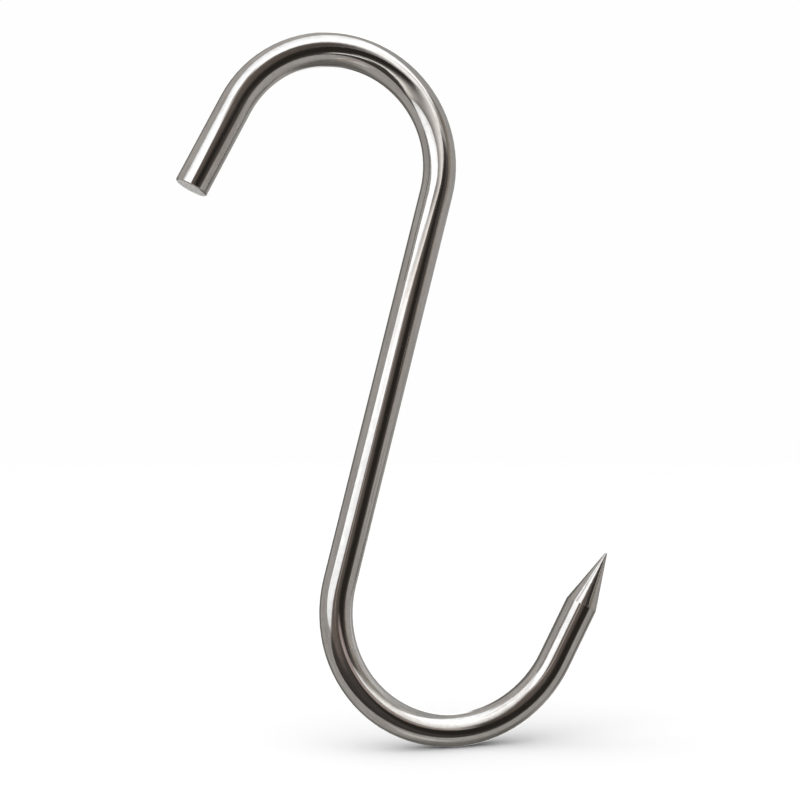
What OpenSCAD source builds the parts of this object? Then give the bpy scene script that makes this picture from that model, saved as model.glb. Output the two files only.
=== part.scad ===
// Butcher's S hook: one length of round bar, bent over at each end in one plane.
// The upper bend goes over a rail and its leg ends in a square cut. The lower bend
// carries the load and its leg ends in a ground point.
// The hook lies in the XZ plane, with +Z up and its shank leaning.
// The origin is the rail seat: the top of the inside of the upper bend.

/* [Bar] */
// Diameter of the round bar
bar_d = 10; // [6:0.5:12]
// Overall length along the shank, from the outside of one bend to the other
hook_length = 200; // [180:1:260]
// Lean of the shank away from upright, in degrees
shank_lean = 14.5; // [0:0.5:30]

/* [Rail bend] */
// Inside diameter of the upper bend, which takes the rail
rail_bend_d = 56; // [36:1:66]
// Angle that the upper bend turns through
rail_bend_turn = 166.5; // [120:0.5:178]
// Straight leg from the upper bend to the square cut
rail_leg = 28; // [5:1:50]
// Broken edge round the square cut
cut_break = 0.4; // [0.1:0.1:1]

/* [Load bend] */
// Inside diameter of the lower bend, which takes the load
load_bend_d = 64; // [36:1:70]
// Angle that the lower bend turns through
load_bend_turn = 166.5; // [120:0.5:178]
// Straight leg from the lower bend to the foot of the point
load_leg = 19; // [5:1:40]
// Length of the ground point
point_length = 18; // [10:0.5:30]
// Radius of the very end of the point
tip_r = 0.4; // [0.2:0.05:1]

/* [Hidden] */
$fn = 96;
bar_r = bar_d / 2;
// Radius of each bend at the bar's centre line
rail_bend_r = rail_bend_d / 2 + bar_r;
load_bend_r = load_bend_d / 2 + bar_r;
// Straight length of bar between the two bends
shank_length = hook_length - bar_d - rail_bend_r - load_bend_r;
// Extra turn that a bend is made with, then trimmed off square where its leg starts
trim_turn = 2;
trim_block = 2 * bar_d;
// The flank of the point runs straight to where it meets the round tip, at an angle
// to the bar's axis that makes it touch the tip smoothly
tip_centre = point_length - tip_r;
flank_angle = atan(bar_r / tip_centre) - asin(tip_r / norm([bar_r, tip_centre]));
TIP_STEPS = 8;

// A straight stretch of bar, from the origin up +Z
module straight(length) {
  cylinder(h = length, r = bar_r);
}

// Moves its children from the origin to the end of a bend, turned to run on from it
module after_bend(bend_r, turn) {
  rotate([0, -turn, 0])
    translate([bend_r, 0, 0])
      children();
}

// A bend about the Y axis, which starts at bend_r on the X axis and heads up +Z.
// It's trimmed by the same move that places its leg, so the two share one flat face.
module bend(bend_r, turn) {
  difference() {
    rotate([90, 0, 0])
      rotate_extrude(angle = turn + trim_turn)
        translate([bend_r, 0])
          circle(r = bar_r);
    after_bend(bend_r, turn)
      translate([-trim_block / 2, -trim_block / 2, 0])
        cube(trim_block);
  }
}

// The square cut, with its edge broken all round
module square_cut() {
  cylinder(h = cut_break, r1 = bar_r, r2 = bar_r - cut_break);
}

// The ground point: a straight flank that runs into a small round tip
module ground_point() {
  tip_arc = [
    for (i = [0 : TIP_STEPS])
      let (a = flank_angle + (90 - flank_angle) * i / TIP_STEPS)
        [tip_r * cos(a), tip_centre + tip_r * sin(a)]
  ];
  rotate_extrude()
    polygon(concat([[0, 0], [bar_r, 0]], tip_arc));
}

// The whole hook. The lower end is built as the upper one is, turned half round.
module hook() {
  color("silver")
    translate([0, 0, -rail_bend_d / 2])
      rotate([0, shank_lean, 0]) {
        bend(rail_bend_r, rail_bend_turn);
        after_bend(rail_bend_r, rail_bend_turn) {
          straight(rail_leg - cut_break);
          translate([0, 0, rail_leg - cut_break])
            square_cut();
        }
        translate([rail_bend_r, 0, -shank_length])
          straight(shank_length);
        translate([rail_bend_r + load_bend_r, 0, -shank_length])
          rotate([0, 180, 0]) {
            bend(load_bend_r, load_bend_turn);
            after_bend(load_bend_r, load_bend_turn) {
              straight(load_leg);
              translate([0, 0, load_leg])
                ground_point();
            }
          }
      }
}

hook();
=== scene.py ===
import math

import bpy
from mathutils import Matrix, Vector


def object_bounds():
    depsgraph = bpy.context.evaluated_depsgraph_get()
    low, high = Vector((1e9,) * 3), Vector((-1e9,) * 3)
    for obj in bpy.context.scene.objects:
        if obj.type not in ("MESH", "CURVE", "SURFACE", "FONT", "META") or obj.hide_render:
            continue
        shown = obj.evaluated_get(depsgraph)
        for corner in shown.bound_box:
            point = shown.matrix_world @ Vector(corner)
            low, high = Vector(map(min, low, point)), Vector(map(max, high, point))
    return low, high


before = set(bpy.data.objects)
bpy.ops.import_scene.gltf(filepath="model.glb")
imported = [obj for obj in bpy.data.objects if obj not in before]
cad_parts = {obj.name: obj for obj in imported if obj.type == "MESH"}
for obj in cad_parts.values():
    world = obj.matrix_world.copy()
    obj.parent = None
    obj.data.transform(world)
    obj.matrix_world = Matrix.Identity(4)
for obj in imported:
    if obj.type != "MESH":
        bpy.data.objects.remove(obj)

# Names in capitals are chosen values. Places, and all else that is worked out, are in small letters.
MM = 0.001
cad_low, cad_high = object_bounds()
middle = (cad_low + cad_high) / 2


# ---- shader node helpers ------------------------------------------------------------------------


def feed(tree, socket, value):
    """Links an output to an input socket, or sets the socket to a plain value."""
    if isinstance(value, bpy.types.NodeSocket):
        tree.links.new(value, socket)
    else:
        socket.default_value = value


def put(tree, kind, sockets=None, **settings):
    """Adds a node; sockets maps an input to a value or to the output that feeds it."""
    node = tree.nodes.new(kind)
    for name, value in settings.items():
        setattr(node, name, value)
    for key, value in (sockets or {}).items():
        feed(tree, node.inputs[key], value)
    return node


def maths(tree, operation, *values, clamp=False):
    """The output of a Math node."""
    node = put(tree, "ShaderNodeMath", dict(enumerate(values)), operation=operation, use_clamp=clamp)
    return node.outputs[0]


def total(tree, *terms):
    """The sum of (value, weight) pairs."""
    result = 0.0
    for value, weight in terms:
        result = maths(tree, "MULTIPLY_ADD", value, weight, result)
    return result


def vectors(tree, operation, *values):
    """The output of a Vector Math node, the number where it gives one."""
    node = put(tree, "ShaderNodeVectorMath", dict(enumerate(values)), operation=operation)
    return node.outputs["Value" if operation in ("DOT_PRODUCT", "LENGTH") else "Vector"]


def scaled(tree, vector, factor):
    """A vector or colour times a number."""
    node = put(tree, "ShaderNodeVectorMath", {0: vector, "Scale": factor}, operation="SCALE")
    return node.outputs["Vector"]


def joined(tree, x, y, z):
    """A vector made of three numbers."""
    return put(tree, "ShaderNodeCombineXYZ", {0: x, 1: y, 2: z}).outputs[0]


def eased(tree, value, start, end):
    """An eased step, from 0 at start to 1 at end."""
    ends = {"Value": value, "From Min": start, "From Max": end}
    return put(tree, "ShaderNodeMapRange", ends, interpolation_type="SMOOTHSTEP").outputs["Result"]


def blend(tree, factor, first, second, kind="FLOAT"):
    """The output of a Mix node of that kind: FLOAT, VECTOR or RGBA."""
    node = put(tree, "ShaderNodeMix", {"Factor": factor}, data_type=kind)
    fitting = "VALUE" if kind == "FLOAT" else kind
    ends = [socket for socket in node.inputs if socket.name in ("A", "B") and socket.type == fitting]
    for socket, value in zip(ends, (first, second)):
        feed(tree, socket, value)
    return next(socket for socket in node.outputs if socket.type == fitting)


def mixed_shaders(tree, factor, first, second):
    """The output of a Mix Shader node."""
    return put(tree, "ShaderNodeMixShader", {0: factor, 1: first, 2: second}).outputs[0]


def noise(tree, vector, scale, detail=2.0, roughness=0.5, distortion=0.0):
    """Noise around 0.5."""
    look = {"Scale": scale, "Detail": detail, "Roughness": roughness, "Distortion": distortion}
    return put(tree, "ShaderNodeTexNoise", {"Vector": vector, **look}).outputs["Fac"]


def ripple(tree, vector, scale, **look):
    """Noise around 0."""
    return maths(tree, "SUBTRACT", noise(tree, vector, scale, **look), 0.5)


def group(name, inputs, outputs):
    """A shader node group with named sockets, as (tree, its inputs, its outputs)."""
    tree = bpy.data.node_groups.new(name, "ShaderNodeTree")
    for direction, sockets in (("INPUT", inputs), ("OUTPUT", outputs)):
        for label, kind in sockets.items():
            tree.interface.new_socket(label, in_out=direction, socket_type="NodeSocket" + kind)
    return tree, tree.nodes.new("NodeGroupInput").outputs, tree.nodes.new("NodeGroupOutput").inputs


def use(tree, made, sockets):
    """Places a node group and gives its outputs."""
    return put(tree, "ShaderNodeGroup", sockets, node_tree=made).outputs


# ---- camera ------------------------------------------------------------------------------------

# The eye's turn and lift round the hook, in degrees, its distance, and the place near the hook's middle
# that it looks at.
EYE_TURN = -16.66
EYE_LIFT = 0.81
EYE_DISTANCE = 479.5 * MM
AIM_DROP = 1.6 * MM
AIM_LEFT = 0.2 * MM
LENS = 72.0
SENSOR = 36.0
NEAREST_SEEN = 10 * MM

eye_turn = math.radians(EYE_TURN)
camera_right = Vector((math.cos(eye_turn), math.sin(eye_turn), 0))
camera_level = Vector((math.sin(eye_turn), -math.cos(eye_turn), 0))
studio_centre = middle - Vector((0, 0, AIM_DROP))


def heading(turn, lift):
    """A direction turned from the camera's side of the hook to the right, and lifted; degrees."""
    turn, lift = math.radians(turn), math.radians(lift)
    flat = camera_right * math.sin(turn) + camera_level * math.cos(turn)
    return flat * math.cos(lift) + Vector((0, 0, math.sin(lift)))


def set_camera():
    """A camera nearly level with the hook's middle, and a little round to its left."""
    eye_back = heading(0, EYE_LIFT)
    camera = bpy.data.objects.new("camera", bpy.data.cameras.new("camera"))
    camera.data.lens = LENS
    camera.data.sensor_width = SENSOR
    camera.data.clip_start = NEAREST_SEEN
    camera.location = studio_centre - camera_right * AIM_LEFT + eye_back * EYE_DISTANCE
    camera.rotation_mode = "QUATERNION"
    camera.rotation_quaternion = (-eye_back).to_track_quat("-Z", "Y")
    bpy.context.scene.collection.objects.link(camera)
    bpy.context.scene.camera = camera


# ---- the studio ---------------------------------------------------------------------------------

WHITE = (1, 1, 1, 1)
BACKDROP = 0.991

# The sky lights what is matt: the floor, and a little of the sawn face. It's brightest at SKY_TURN, so
# the hook's shadow leans the other way, and SKY is its mean brightness.
SKY = 1.24
SKY_TURN = -30.0

FLOOR_SHADE = (0.85, 0.85, 0.85)
FLOOR_HALF = 2.0
FLOOR_FADE = (0.3 * FLOOR_HALF, 0.9 * FLOOR_HALF)

# What the steel reflects where no card stands: the room at eye level and below, and its ceiling.
ROOM = (0.46, 0.435, 0.41)
CEILING = (0.58, 0.55, 0.52)

# How far a card's soft edge reaches to each side of the card's outline, as a share of its softness.
EDGE_REACH = 0.75
# A far card shows only in its own half of the room.
LEAST_AHEAD = 0.001
# The corners of a flat piece of the studio, counter-clockwise as its front shows them.
CORNERS = ((-1, -1), (1, -1), (1, 1), (-1, 1))

# The cards and flags round the hook, which only the polished steel reflects. turn and lift say where each
# stands as seen from the hook, in degrees from the camera; roll turns it in its own plane; half is its
# half width and half height as slopes; square is how square its corners are; soft is how soft its edge
# is; shade is its brightness, and fall how much that changes from its middle to its right and upper
# edges. A far card covers those named before it, and a near card covers what lies behind it. A near card
# also has its distance, and its halves are in millimetres too; faces is the turn and lift that its lit
# side looks along.
FAR_CARDS = {
    "backdrop_glow": dict(
        turn=162, lift=12, roll=43, half=(2.4, 0.67), square=9, soft=0.6,
        shade=(0.43, 0.425, 0.415), fall=(0.1, 0),
    ),
    "low_behind": dict(
        turn=155, lift=-62, roll=-26, half=(0.65, 0.43), square=9, soft=0.6,
        shade=(0.19, 0.18, 0.165), fall=(0.33, -0.25),
    ),
    "overhead_box": dict(
        turn=11, lift=55, roll=62, half=(0.89, 1.0), square=4.4, soft=0.2,
        shade=(1.75, 1.79, 1.82), fall=(-0.3, 0.05),
    ),
    "right_box": dict(
        turn=45, lift=25, roll=-49, half=(0.35, 0.18), square=3.6, soft=0.07,
        shade=(1.63, 1.60, 1.58), fall=(0.3, 0.3),
    ),
    "right_shade": dict(
        turn=70, lift=8, roll=-49, half=(0.48, 0.19), square=8, soft=0.05,
        shade=(0.29, 0.26, 0.225), fall=(-0.15, -0.35),
    ),
    "dark_camera_side": dict(
        turn=9, lift=-26, roll=-24, half=(1.8, 0.49), square=2.1, soft=0.13,
        shade=(0.08, 0.07, 0.064), fall=(-0.35, 0.3),
    ),
    "warm_flag": dict(
        turn=0, lift=10, roll=45, half=(0.48, 0.92), square=2.5, soft=0.3,
        shade=(0.176, 0.143, 0.125), fall=(0.35, -0.35),
    ),
    "black_core": dict(
        turn=34, lift=-6, roll=-30, half=(0.26, 0.33), square=3, soft=0.6,
        shade=(0.030, 0.026, 0.022), fall=(0, 0),
    ),
    "floor_glow": dict(
        turn=17, lift=-67, roll=-25, half=(0.21, 0.19), square=10, soft=0.4,
        shade=(0.60, 0.57, 0.54), fall=(0, -0.35),
    ),
    "thin_light": dict(
        turn=-7, lift=17, roll=-4, half=(0.064, 0.56), square=2.7, soft=0.35,
        shade=(0.43, 0.38, 0.35), fall=(0, 0.35),
    ),
    "dark_behind_left": dict(
        turn=-150, lift=-4, roll=0, half=(0.36, 0.8), square=4, soft=0.3,
        shade=(0.20, 0.19, 0.175), fall=(0, 0.1),
    ),
    "low_behind_right": dict(
        turn=117, lift=-25, roll=30, half=(0.19, 0.24), square=2.5, soft=0.7,
        shade=(0.19, 0.18, 0.165), fall=(0, 0),
    ),
    "back_box": dict(
        turn=172, lift=6, roll=4, half=(0.16, 0.6), square=5, soft=0.2,
        shade=(1.45, 1.45, 1.43), fall=(0.1, 0.2),
    ),
    "back_flag": dict(
        turn=192, lift=0, roll=4, half=(0.1, 0.6), square=3, soft=0.4,
        shade=(0.12, 0.11, 0.1), fall=(0, 0),
    ),
}
NEAR_CARDS = {
    "left_box": dict(
        turn=-40, lift=7, distance=265, faces=(142, -11), roll=25.5,
        half=(112, 180), square=2.6, soft=0.09,
        shade=(1.52, 1.54, 1.56), fall=(0.1, 0.2),
    ),
    "right_strip": dict(
        turn=54.5, lift=-0.5, distance=207, faces=(-125.5, 0.5), roll=-75,
        half=(9.5, 2.7), square=3, soft=0.33,
        shade=(0.53, 0.49, 0.43), fall=(0, 0.1),
    ),
    "upper_strip": dict(
        turn=17, lift=48, distance=105, faces=(136, -34), roll=50,
        half=(13, 63), square=4, soft=0.7,
        shade=(0.90, 0.85, 0.81), fall=(-0.8, -0.45),
    ),
    "crown_strip": dict(
        turn=40, lift=51, distance=130, faces=(149, 26), roll=64,
        half=(9, 57), square=4, soft=0.55,
        shade=(1.24, 1.19, 1.15), fall=(-0.35, 0.2),
    ),
    "lower_strip": dict(
        turn=29.5, lift=-49, distance=119, faces=(-98, -48), roll=-18,
        half=(73, 5), square=4, soft=0.65,
        shade=(1.00, 0.98, 0.96), fall=(-0.35, 0.45),
    ),
    "lower_rise": dict(
        turn=23, lift=-52, distance=113, faces=(-100, 58), roll=5,
        half=(63, 10), square=4, soft=0.7,
        shade=(0.47, 0.39, 0.36), fall=(0.15, -0.2),
    ),
    "point_flag": dict(
        turn=80.5, lift=-28.5, distance=101, faces=(-175, -11), roll=-5,
        half=(10, 20), square=4, soft=0.15,
        shade=(0.04, 0.035, 0.03), fall=(0, 0),
    ),
    "crown_glint": dict(
        turn=19, lift=14, distance=123, faces=(28, 80), roll=0,
        half=(14, 18), square=2.5, soft=0.5,
        shade=(1.20, 1.18, 1.15), fall=(0, 0),
    ),
}


def card_axes(face, roll):
    """The directions across and up a card whose lit side looks along face."""
    side = Vector((0, 0, 1)).cross(face).normalized()
    rise = face.cross(side)
    roll = math.radians(roll)
    return side * math.cos(roll) + rise * math.sin(roll), rise * math.cos(roll) - side * math.sin(roll)


def soft_card_group():
    """Where a card shows, with a soft rounded edge, and how bright it is there."""
    tree, given, made = group(
        "soft_card",
        {"Across": "Float", "Up": "Float", "Squareness": "Float", "Softness": "Float",
         "Shade": "Color", "Across Fall": "Float", "Up Fall": "Float"},
        {"Mask": "Float", "Colour": "Color"},
    )
    powers = []
    falls = []
    for way in ("Across", "Up"):
        powers.append(maths(tree, "POWER", maths(tree, "ABSOLUTE", given[way]), given["Squareness"]))
        place = put(tree, "ShaderNodeClamp", {"Value": given[way], "Min": -1.0, "Max": 1.0}).outputs[0]
        falls.append((place, given[way + " Fall"]))
    root = maths(tree, "DIVIDE", 1.0, given["Squareness"])
    reach = maths(tree, "POWER", maths(tree, "ADD", *powers), root)
    inner = maths(tree, "MULTIPLY_ADD", given["Softness"], -EDGE_REACH, 1.0)
    outer = maths(tree, "MULTIPLY_ADD", given["Softness"], EDGE_REACH, 1.0)
    tree.links.new(eased(tree, reach, outer, inner), made["Mask"])
    shine = maths(tree, "ADD", total(tree, *falls), 1.0)
    tree.links.new(scaled(tree, given["Shade"], shine), made["Colour"])
    return tree


def card_look(card):
    """The values of a card that its soft_card group takes."""
    return {
        "Squareness": card["square"], "Softness": card["soft"], "Shade": (*card["shade"], 1),
        "Across Fall": card["fall"][0], "Up Fall": card["fall"][1],
    }


def light_the_world(soft_card):
    """White to the camera, a sky to the floor, and the far cards to the polished steel."""
    world = bpy.data.worlds.new("studio")
    world.use_nodes = True
    world.cycles.sampling_method = "NONE"
    tree = world.node_tree
    tree.nodes.clear()
    direction = put(tree, "ShaderNodeTexCoord").outputs["Generated"]
    height = maths(tree, "MAXIMUM", vectors(tree, "DOT_PRODUCT", direction, (0, 0, 1)), 0.0)
    colour = blend(tree, maths(tree, "MULTIPLY", height, height), (*ROOM, 1), (*CEILING, 1), "RGBA")
    for card in FAR_CARDS.values():
        centre = heading(card["turn"], card["lift"])
        ahead = vectors(tree, "DOT_PRODUCT", direction, centre)
        depth = maths(tree, "MAXIMUM", ahead, LEAST_AHEAD)
        places = [
            maths(tree, "DIVIDE", vectors(tree, "DOT_PRODUCT", direction, axis / half), depth)
            for axis, half in zip(card_axes(-centre, card["roll"]), card["half"])
        ]
        shown = use(tree, soft_card, {"Across": places[0], "Up": places[1], **card_look(card)})
        mask = maths(tree, "MULTIPLY", shown["Mask"], maths(tree, "GREATER_THAN", ahead, LEAST_AHEAD))
        colour = blend(tree, mask, colour, shown["Colour"], "RGBA")
    cards = put(tree, "ShaderNodeBackground", {"Color": colour}).outputs[0]
    to_sky = vectors(tree, "DOT_PRODUCT", direction, heading(SKY_TURN, 0))
    strength = maths(tree, "MULTIPLY_ADD", to_sky, SKY, SKY)
    sky = put(tree, "ShaderNodeBackground", {"Color": WHITE, "Strength": strength}).outputs[0]
    backdrop = put(tree, "ShaderNodeBackground", {"Color": WHITE, "Strength": BACKDROP}).outputs[0]
    ray = put(tree, "ShaderNodeLightPath").outputs
    unseen = mixed_shaders(tree, ray["Is Diffuse Ray"], cards, sky)
    seen = mixed_shaders(tree, ray["Is Camera Ray"], unseen, backdrop)
    put(tree, "ShaderNodeOutputWorld", {"Surface": seen})
    bpy.context.scene.world = world


def stage_plane(name, corners, location):
    """A flat piece of the studio, not part of the hook."""
    mesh = bpy.data.meshes.new(name)
    mesh.from_pydata(corners, [], [(0, 1, 2, 3)])
    plane = bpy.data.objects.new(name, mesh)
    plane.location = location
    bpy.context.scene.collection.objects.link(plane)
    material = bpy.data.materials.new(name)
    material.use_nodes = True
    material.node_tree.nodes.clear()
    mesh.materials.append(material)
    return plane, material.node_tree


def stand_near_card(name, card, soft_card):
    """A card close to the hook, lit on one side, which only the polished steel reflects."""
    axes = card_axes(heading(*card["faces"]), card["roll"])
    across, up = (axis * half * MM for axis, half in zip(axes, card["half"]))
    with_edge = 1 + card["soft"]
    corners = [(across * x + up * y) * with_edge for x, y in CORNERS]
    place = studio_centre + heading(card["turn"], card["lift"]) * card["distance"] * MM
    plane, tree = stage_plane(name, corners, place)
    plane.visible_camera = False
    plane.visible_diffuse = False
    plane.visible_shadow = False
    spot = put(tree, "ShaderNodeTexCoord").outputs["Object"]
    shown = use(tree, soft_card, {
        "Across": vectors(tree, "DOT_PRODUCT", spot, across / across.length_squared),
        "Up": vectors(tree, "DOT_PRODUCT", spot, up / up.length_squared),
        **card_look(card),
    })
    behind = put(tree, "ShaderNodeNewGeometry").outputs["Backfacing"]
    seen = maths(tree, "SUBTRACT", shown["Mask"], behind, clamp=True)
    lit = put(tree, "ShaderNodeEmission", {"Color": shown["Colour"]}).outputs[0]
    clear = put(tree, "ShaderNodeBsdfTransparent").outputs[0]
    put(tree, "ShaderNodeOutputMaterial", {"Surface": mixed_shaders(tree, seen, clear, lit)})


def lay_floor():
    """A pale floor under the lowest point of the hook, faded out far off and clear from below."""
    corners = [(x * FLOOR_HALF, y * FLOOR_HALF, 0) for x, y in CORNERS]
    floor, tree = stage_plane("floor", corners, (middle.x, middle.y, cad_low.z))
    floor.visible_glossy = False
    radius = vectors(tree, "LENGTH", put(tree, "ShaderNodeTexCoord").outputs["Object"])
    below = put(tree, "ShaderNodeNewGeometry").outputs["Backfacing"]
    unseen = maths(tree, "MAXIMUM", eased(tree, radius, *FLOOR_FADE), below)
    matt = put(tree, "ShaderNodeBsdfDiffuse", {"Color": (*FLOOR_SHADE, 1)}).outputs[0]
    clear = put(tree, "ShaderNodeBsdfTransparent").outputs[0]
    put(tree, "ShaderNodeOutputMaterial", {"Surface": mixed_shaders(tree, unseen, matt, clear)})


def build_studio():
    """All that lights the hook, and the floor under it."""
    soft_card = soft_card_group()
    light_the_world(soft_card)
    for name, card in NEAR_CARDS.items():
        stand_near_card(name, card, soft_card)
    lay_floor()
    bpy.context.scene.view_settings.view_transform = "Standard"
    bpy.context.scene.cycles.caustics_reflective = False


# ---- the hook's own shape -----------------------------------------------------------------------

# Millimetres and degrees: a round bar, a leaning shank, a bend at each end of it that turns through
# BEND_TURN, and a straight leg after each bend.
BAR_R = 5.0
RAIL_BEND_R = 28.0 + BAR_R
LOAD_BEND_R = 32.0 + BAR_R
SHANK_LEAN = 14.5
BEND_TURN = 166.5
RAIL_LEG = 28.0
LOAD_LEG = 19.0
CUT_BREAK = 0.4

lean = math.radians(SHANK_LEAN)
bend_turn = math.radians(BEND_TURN)
shank_down = Vector((-math.sin(lean), 0, -math.cos(lean)))
shank_out = Vector((math.cos(lean), 0, -math.sin(lean)))
# Both legs rise at this angle from level, on the same slant.
leg_rise = bend_turn - math.pi / 2 - lean
leg_way = Vector((math.cos(leg_rise), 0, math.sin(leg_rise)))
leg_side = Vector((math.sin(leg_rise), 0, -math.cos(leg_rise)))

rail_centre = Vector((0, 0, cad_high.z / MM - RAIL_BEND_R - BAR_R))
load_centre_z = cad_low.z / MM + LOAD_BEND_R + BAR_R
shank_drop = rail_centre.z - load_centre_z - (RAIL_BEND_R + LOAD_BEND_R) * math.sin(lean)
shank_length = shank_drop / math.cos(lean)
shank_top = rail_centre + shank_out * RAIL_BEND_R
shank_foot = shank_top + shank_down * shank_length
load_centre = shank_foot + shank_out * LOAD_BEND_R
rail_leg_root = rail_centre - leg_side * RAIL_BEND_R
load_leg_root = load_centre + leg_side * LOAD_BEND_R

# Places along the straightened bar, from the root of the rail leg.
shank_start = RAIL_BEND_R * bend_turn
load_bend_start = shank_start + shank_length
load_leg_start = load_bend_start + LOAD_BEND_R * bend_turn
point_start = load_leg_start + LOAD_LEG


def straight_bar_group():
    """Places on the hook as if its bar were straightened, in millimetres: x towards the outside of the
    rail bend, y across the hook's flat, z along the bar from the root of the rail leg."""
    tree, given, made = group("straight_bar", {"Position": "Vector"}, {"Place": "Vector"})
    spot = scaled(tree, given["Position"], 1 / MM)
    side = vectors(tree, "DOT_PRODUCT", spot, (0, 1, 0))

    def from_point(point, way):
        """How far the spot lies from the point, along a direction."""
        return vectors(tree, "DOT_PRODUCT", vectors(tree, "SUBTRACT", spot, point), way)

    def past(point, way):
        return maths(tree, "GREATER_THAN", from_point(point, way), 0.0)

    def straight(root, out, way, start):
        """Places on a straight stretch of bar that runs from its root along a direction."""
        along = maths(tree, "ADD", from_point(root, way), start)
        return joined(tree, from_point(root, out), side, along)

    def bend(centre, radius, up, turn_before_top, start):
        """Places on a bend: up is 1 where its middle is its top, and -1 where it's its bottom."""
        east = from_point(centre, (1, 0, 0))
        north = from_point(centre, (0, 0, up))
        turned = maths(tree, "ARCTAN2", east, north)
        along = maths(tree, "MULTIPLY_ADD", turned, radius, start + turn_before_top * radius)
        spread = maths(tree, "SQRT", total(tree, (east, east), (north, north)))
        out = maths(tree, "MULTIPLY", maths(tree, "SUBTRACT", spread, radius), up)
        return joined(tree, out, side, along)

    rail_bend = bend(rail_centre, RAIL_BEND_R, 1, leg_rise, 0)
    shank = straight(shank_top, shank_out, shank_down, shank_start)
    load_bend = bend(load_centre, LOAD_BEND_R, -1, bend_turn - leg_rise, load_bend_start)
    load_leg = straight(load_leg_root, -leg_side, leg_way, load_leg_start)
    rail_leg = straight(rail_leg_root, -leg_side, leg_way, 0)
    # The line that parts a leg from its bend crosses the shank too, so a leg also stops short of there.
    leg_limit = rail_leg_root + Vector((RAIL_BEND_R / 2, 0, 0))
    on_load_leg = maths(tree, "MULTIPLY", past(load_leg_root, leg_way), past(load_centre, (1, 0, 0)))
    on_rail_leg = maths(tree, "MULTIPLY", past(rail_leg_root, -leg_way), past(leg_limit, (-1, 0, 0)))
    place = blend(tree, past(shank_top, shank_down), rail_bend, shank, "VECTOR")
    place = blend(tree, past(shank_foot, shank_down), place, load_bend, "VECTOR")
    place = blend(tree, on_load_leg, place, load_leg, "VECTOR")
    place = blend(tree, on_rail_leg, place, rail_leg, "VECTOR")
    tree.links.new(place, made["Place"])
    return tree


# ---- polished stainless steel -------------------------------------------------------------------


def drawn_out(tree, place, share):
    """The place with its length along the bar cut to a share, which draws a pattern out lengthwise."""
    return vectors(tree, "MULTIPLY", place, (1, 1, share))


def polishing_lines_group():
    """Hairlines of the last polish, drawn out along the bar."""
    tree, given, made = group("polishing_lines", {"Place": "Vector", "Lines": "Float"}, {"Height": "Float"})
    lines = ripple(tree, drawn_out(tree, given["Place"], 0.03), given["Lines"], detail=3, roughness=0.7)
    tree.links.new(lines, made["Height"])
    return tree


def hand_waves_group():
    """The slight unevenness that a polishing wheel leaves, a few millimetres long."""
    tree, given, made = group("hand_waves", {"Place": "Vector", "Waves": "Float"}, {"Height": "Float"})
    waves = ripple(tree, drawn_out(tree, given["Place"], 0.55), given["Waves"], detail=1)
    tree.links.new(waves, made["Height"])
    return tree


def drawing_streaks_group():
    """Faint lengthwise streaks that the drawing die leaves, and the cloudy grain between them."""
    tree, given, made = group(
        "drawing_streaks",
        {"Place": "Vector", "Streaks": "Float", "Grain": "Float"},
        {"Streak": "Float"},
    )
    streaks = noise(tree, drawn_out(tree, given["Place"], 0.05), given["Streaks"], detail=3, roughness=0.6)
    grain = noise(tree, drawn_out(tree, given["Place"], 0.6), given["Grain"], detail=3, roughness=0.65)
    together = total(tree, (streaks, 0.55), (grain, 0.45))
    tree.links.new(eased(tree, together, 0.34, 0.66), made["Streak"])
    return tree


def handling_film_group():
    """Faint cloudy patches where hands and the polishing cloth have dulled the steel."""
    tree, given, made = group("handling_film", {"Place": "Vector"}, {"Film": "Float"})
    broad = noise(tree, given["Place"], 0.06, detail=2, distortion=0.6)
    wiped = noise(tree, drawn_out(tree, given["Place"], 0.12), 0.5, detail=4, roughness=0.65)
    together = total(tree, (broad, 0.6), (wiped, 0.4))
    tree.links.new(eased(tree, together, 0.42, 0.66), made["Film"])
    return tree


def hairline_scratches_group():
    """Sparse thin scratches, mostly lengthwise, and a few slanting."""
    tree, given, made = group("hairline_scratches", {"Place": "Vector"}, {"Scratch": "Float"})
    lengthwise = (1, 1, 0.05)
    slanting = (0.9, 0.2, 0.25)
    layers = []
    for slant, scale in ((lengthwise, 0.8), (slanting, 0.55)):
        drawn = vectors(tree, "MULTIPLY", given["Place"], slant)
        from_line = maths(tree, "ABSOLUTE", ripple(tree, drawn, scale, detail=1, distortion=0.4))
        layers.append(eased(tree, from_line, 0.006, 0.001))
    patches = eased(tree, noise(tree, given["Place"], 0.17, detail=1), 0.55, 0.68)
    tree.links.new(maths(tree, "MULTIPLY", maths(tree, "MAXIMUM", *layers), patches), made["Scratch"])
    return tree


def nicks_group():
    """Tiny dents, here and there."""
    tree, given, made = group("nicks", {"Place": "Vector"}, {"Nick": "Float"})
    cells = put(tree, "ShaderNodeTexVoronoi", {"Vector": given["Place"], "Scale": 0.28}).outputs
    cell_number = put(tree, "ShaderNodeSeparateXYZ", {0: cells["Color"]}).outputs[0]
    chosen = eased(tree, cell_number, 0.80, 0.86)
    dent = eased(tree, cells["Distance"], 0.06, 0.01)
    tree.links.new(maths(tree, "MULTIPLY", chosen, dent), made["Nick"])
    return tree


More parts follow.
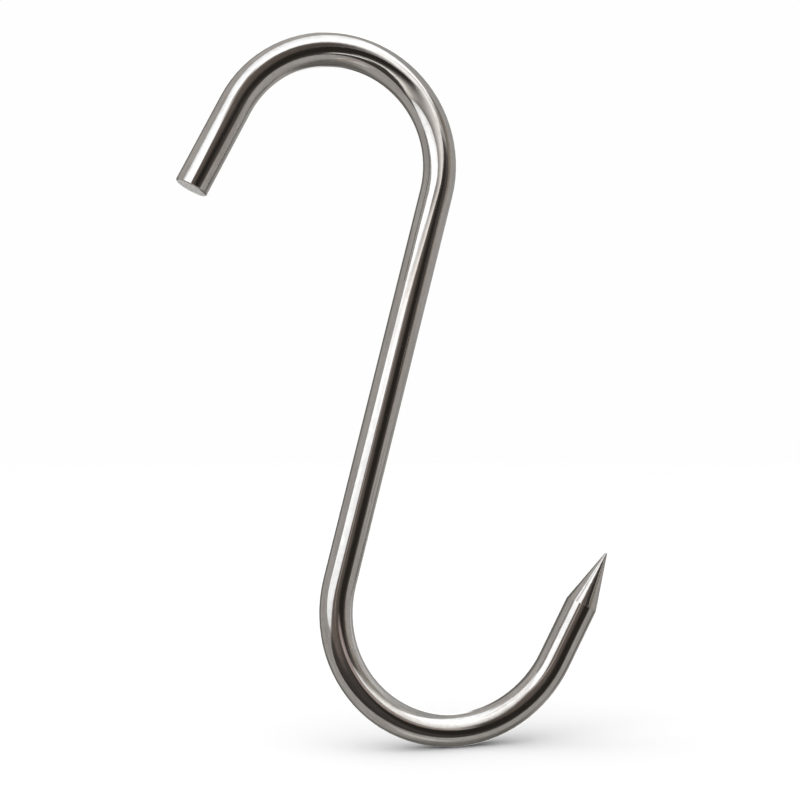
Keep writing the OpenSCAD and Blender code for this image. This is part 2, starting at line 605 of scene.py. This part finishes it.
def worked_ends_group():
    """The square cut of the rail leg with its broken edge, and the ground point with its foot."""
    tree, given, made = group(
        "worked_ends",
        {"Place": "Vector", "Cut Break": "Float"},
        {"Cut Face": "Float", "Cut Rim": "Float", "Point": "Float", "Point Edge": "Float"},
    )
    along = vectors(tree, "DOT_PRODUCT", given["Place"], (0, 0, 1))
    from_cut = maths(tree, "ADD", along, RAIL_LEG)
    rim_fade = maths(tree, "ADD", given["Cut Break"], 0.15)
    from_point = maths(tree, "SUBTRACT", along, point_start)
    tree.links.new(eased(tree, from_cut, 0.06, 0.02), made["Cut Face"])
    tree.links.new(eased(tree, from_cut, rim_fade, given["Cut Break"]), made["Cut Rim"])
    tree.links.new(eased(tree, from_point, -0.05, 0.05), made["Point"])
    tree.links.new(eased(tree, maths(tree, "ABSOLUTE", from_point), 0.45, 0.0), made["Point Edge"])
    return tree


def saw_lines_group():
    """Fine parallel lines that a saw leaves across a cut face."""
    tree, given, made = group("saw_lines", {"Place": "Vector", "Lines": "Float"}, {"Height": "Float"})
    drawn = vectors(tree, "MULTIPLY", given["Place"], (1, 0.04, 1))
    tree.links.new(ripple(tree, drawn, given["Lines"], detail=2, roughness=0.6), made["Height"])
    return tree


# The steel's colours: the polish, where streaks and film dull it, and the sawn face.
BRIGHT = (0.69, 0.68, 0.67, 1)
DULLED = (0.52, 0.505, 0.49, 1)
SAWN = (0.96, 0.955, 0.95, 1)
SAWN_METALLIC = 0.7
POLISHED_ROUGHNESS = 0.04
SAWN_ROUGHNESS = 0.38


def polished_stainless():
    """Bright drawn bar, bent and polished, with a sawn end and a ground point."""
    material = bpy.data.materials.new("polished_stainless")
    material.use_nodes = True
    tree = material.node_tree
    shader = tree.nodes["Principled BSDF"]
    position = put(tree, "ShaderNodeTexCoord").outputs["Object"]
    place = use(tree, straight_bar_group(), {"Position": position})["Place"]
    lines = use(tree, polishing_lines_group(), {"Place": place, "Lines": 6.0})["Height"]
    waves = use(tree, hand_waves_group(), {"Place": place, "Waves": 0.25})["Height"]
    streak = use(tree, drawing_streaks_group(), {"Place": place, "Streaks": 1.1, "Grain": 0.9})["Streak"]
    film = use(tree, handling_film_group(), {"Place": place})["Film"]
    scratch = use(tree, hairline_scratches_group(), {"Place": place})["Scratch"]
    nick = use(tree, nicks_group(), {"Place": place})["Nick"]
    ends = use(tree, worked_ends_group(), {"Place": place, "Cut Break": CUT_BREAK})
    saw = use(tree, saw_lines_group(), {"Place": place, "Lines": 3.0})["Height"]
    cut = ends["Cut Face"]

    colour = blend(tree, total(tree, (streak, 0.7), (film, 0.3)), BRIGHT, DULLED, "RGBA")
    tree.links.new(blend(tree, cut, colour, SAWN, "RGBA"), shader.inputs["Base Color"])
    tree.links.new(blend(tree, cut, 1.0, SAWN_METALLIC), shader.inputs["Metallic"])

    # Each weight here is what that mark adds to the roughness.
    marks = total(
        tree,
        (film, 0.04), (streak, 0.03), (scratch, 0.12), (nick, 0.15),
        (ends["Point"], 0.03), (ends["Point Edge"], 0.05), (ends["Cut Rim"], 0.10),
    )
    fine = maths(tree, "ADD", marks, POLISHED_ROUGHNESS)
    rough = maths(tree, "MULTIPLY_ADD", saw, 0.25, SAWN_ROUGHNESS)
    tree.links.new(blend(tree, cut, fine, rough), shader.inputs["Roughness"])

    # Each weight here is the height of that mark in millimetres.
    on_bar = total(tree, (waves, 0.018), (lines, 0.0010), (scratch, -0.0015), (nick, -0.010))
    on_cut = maths(tree, "MULTIPLY", saw, 0.010)
    height = blend(tree, cut, on_bar, on_cut)
    bump = put(tree, "ShaderNodeBump", {"Strength": 1.0, "Distance": MM, "Height": height})
    tree.links.new(bump.outputs["Normal"], shader.inputs["Normal"])
    return material


set_camera()
build_studio()
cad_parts["hook"].material_slots[0].material = polished_stainless()
